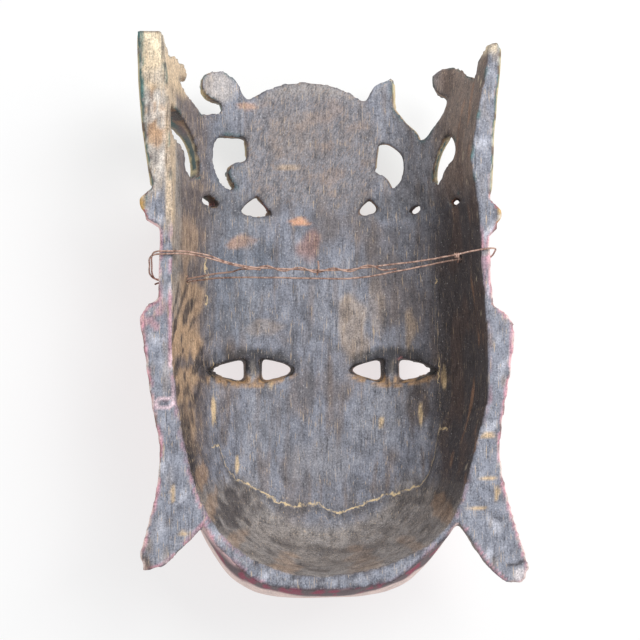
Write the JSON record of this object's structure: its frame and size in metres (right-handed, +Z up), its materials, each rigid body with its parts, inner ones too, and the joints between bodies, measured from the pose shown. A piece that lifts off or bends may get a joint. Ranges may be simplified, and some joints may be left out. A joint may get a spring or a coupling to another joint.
{
  "type": "carved wooden dance mask with wire hanger",
  "caption": "Hollow carved wooden dance mask with long ears and an openwork crown, lying face down, with a thin hanging wire across its back.",
  "frame": {"origin": "on the ground, under the middle of the carving's box", "axes": "+X across the face, +Y from the chin to the crown, +Z up out of the hollow back; the face looks down"},
  "size_m": [0.22, 0.3238, 0.1089],
  "materials": {
    "painted_wood": "old dark patina inside, worn painted front",
    "wire": "rusted"
  },
  "bodies": {
    "root": {"mask_carving": "painted_wood", "hanging_wire": "wire"}
  },
  "joints": []
}
